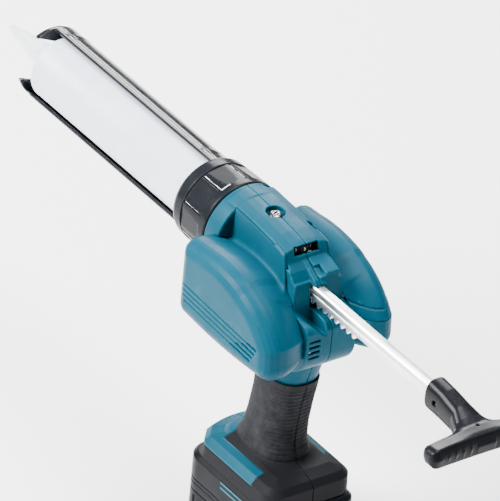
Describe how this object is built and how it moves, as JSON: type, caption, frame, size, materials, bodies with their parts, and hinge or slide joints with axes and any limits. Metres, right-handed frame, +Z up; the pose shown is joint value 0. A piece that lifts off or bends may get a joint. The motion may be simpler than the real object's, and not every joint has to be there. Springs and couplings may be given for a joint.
{
  "type": "cordless caulking gun",
  "caption": "Battery-powered caulking gun that drives a toothed rack and piston through a sealant cartridge held in a half-open rotating holder, with pistol grip and T-handle.",
  "frame": {"origin": "middle of the battery's flat underside, which the gun stands on", "axes": "+X forward along the cartridge towards the nozzle, +Y to the user's left, +Z up from the battery's underside"},
  "size_m": [0.5977, 0.113, 0.2662],
  "materials": {
    "teal": "fine-grained moulded",
    "rubber": "ribbed grip",
    "black": "satin",
    "paint": "gloss",
    "white": "smooth",
    "clear": "translucent",
    "steel": "bright zinc plated",
    "chrome": "polished",
    "gear": "machined",
    "brass": "machined",
    "copper": "wound copper wire",
    "board": "lacquered",
    "cell": "shrink wrap"
  },
  "bodies": {
    "body": {"housing_left": "teal", "housing_right": "teal", "side_cover_left": "teal", "side_cover_right": "teal", "grip_sleeve_left": "rubber", "grip_sleeve_right": "rubber", "top_screw": "chrome", "housing_screw_1": "steel", "housing_screw_2": "steel", "housing_screw_3": "steel", "housing_screw_4": "steel", "housing_screw_5": "steel", "barrel_mount": "gear", "rack_guide": "gear", "pinion_bearing_left": "steel", "pinion_bearing_right": "steel", "ring_gear": "gear", "gearbox_case": "gear", "motor_can": "steel", "motor_end_cap": "black", "trigger_pin": "steel", "trigger_switch": "black", "trigger_spring": "steel", "dial_board": "board", "control_board": "board", "terminal_block": "black"},
    "rack": {"rack": "steel", "piston": "gear", "piston_bolt": "steel", "t_handle": "black", "handle_pin": "steel"},
    "pinion": {"rack_pinion": "gear", "drive_gear": "gear"},
    "output": {"output_gear": "gear"},
    "rotor": {"motor_armature": "copper", "motor_fan": "black", "sun_pinion": "brass"},
    "carrier": {"planet_carrier": "gear", "clutch_disc": "brass"},
    "planet_1": {"planet_gear_1": "gear"},
    "planet_2": {"planet_gear_2": "gear"},
    "planet_3": {"planet_gear_3": "gear"},
    "holder": {"cartridge_holder": "paint", "cartridge_tube": "white", "cartridge_nozzle": "clear"},
    "collar": {"locking_collar": "black"},
    "plunger": {"cartridge_plunger": "white"},
    "trigger": {"trigger": "black"},
    "button": {"lock_off_button": "black"},
    "dial": {"speed_dial": "black"},
    "battery": {"battery_lower_case": "black", "battery_upper_case": "black", "cell_block_lower": "cell", "cell_block_upper": "cell"},
    "latch": {"battery_latch": "black"}
  },
  "joints": [
    {"name": "rack_slide", "type": "slide", "parent": "body", "child": "rack", "axis": [1, 0, 0], "range_m": [-0.088, 0.085]},
    {"name": "pinion_spin", "type": "hinge", "parent": "body", "child": "pinion", "pos_m": [0.002, 0, 0.2137], "axis": [0, 1, 0], "continuous": true},
    {"name": "output_spin", "type": "hinge", "parent": "body", "child": "output", "pos_m": [0.0301, 0, 0.2], "axis": [0, 1, 0], "continuous": true},
    {"name": "motor_spin", "type": "hinge", "parent": "body", "child": "rotor", "pos_m": [0.0301, 0, 0.2], "axis": [0, 1, 0], "continuous": true},
    {"name": "carrier_spin", "type": "hinge", "parent": "body", "child": "carrier", "pos_m": [0.0301, 0, 0.2], "axis": [0, 1, 0], "continuous": true},
    {"name": "planet_1_spin", "type": "hinge", "parent": "carrier", "child": "planet_1", "pos_m": [0.0301, 0, 0.2084], "axis": [0, 1, 0], "continuous": true},
    {"name": "planet_2_spin", "type": "hinge", "parent": "carrier", "child": "planet_2", "pos_m": [0.02283, 0, 0.1958], "axis": [0, 1, 0], "continuous": true},
    {"name": "planet_3_spin", "type": "hinge", "parent": "carrier", "child": "planet_3", "pos_m": [0.03737, 0, 0.1958], "axis": [0, 1, 0], "continuous": true},
    {"name": "holder_rotate", "type": "hinge", "parent": "body", "child": "holder", "pos_m": [0.1, 0, 0.232], "axis": [1, 0, 0], "continuous": true},
    {"name": "plunger_slide", "type": "slide", "parent": "holder", "child": "plunger", "axis": [1, 0, 0], "range_m": [-0.088, 0.085]},
    {"name": "collar_turn", "type": "hinge", "parent": "body", "child": "collar", "pos_m": [0.08, 0, 0.232], "axis": [1, 0, 0], "range_deg": [0, 45]},
    {"name": "trigger_pull", "type": "hinge", "parent": "body", "child": "trigger", "pos_m": [0.014, 0, 0.166], "axis": [0, 1, 0], "range_deg": [0, 12], "stiffness_Nm_per_rad": 0.8, "springref_deg": -11.46, "deforming": ["trigger_spring"]},
    {"name": "button_slide", "type": "slide", "parent": "body", "child": "button", "axis": [0, 1, 0], "range_m": [-0.0025, 0.0025]},
    {"name": "dial_turn", "type": "hinge", "parent": "body", "child": "dial", "pos_m": [-0.0025, 0, 0.2538], "axis": [0, 0, 1], "range_deg": [-125, 125]},
    {"name": "battery_slide", "type": "slide", "parent": "body", "child": "battery", "axis": [1, 0, 0], "range_m": [0, 0.1]},
    {"name": "latch_press", "type": "slide", "parent": "battery", "child": "latch", "axis": [0, 0, -1], "range_m": [0, 0.003], "stiffness_N_per_m": 600, "springref_m": -0.004}
  ],
  "couplings": [
    {"joint": "pinion_spin", "follows": "rack_slide", "rad_per_m": 111.09},
    {"joint": "output_spin", "follows": "rack_slide", "rad_per_m": -285.66},
    {"joint": "plunger_slide", "follows": "rack_slide", "ratio": 1},
    {"joint": "carrier_spin", "follows": "motor_spin", "ratio": 0.20833},
    {"joint": "planet_1_spin", "follows": "motor_spin", "ratio": -0.56548},
    {"joint": "planet_2_spin", "follows": "motor_spin", "ratio": -0.56548},
    {"joint": "planet_3_spin", "follows": "motor_spin", "ratio": -0.56548}
  ]
}
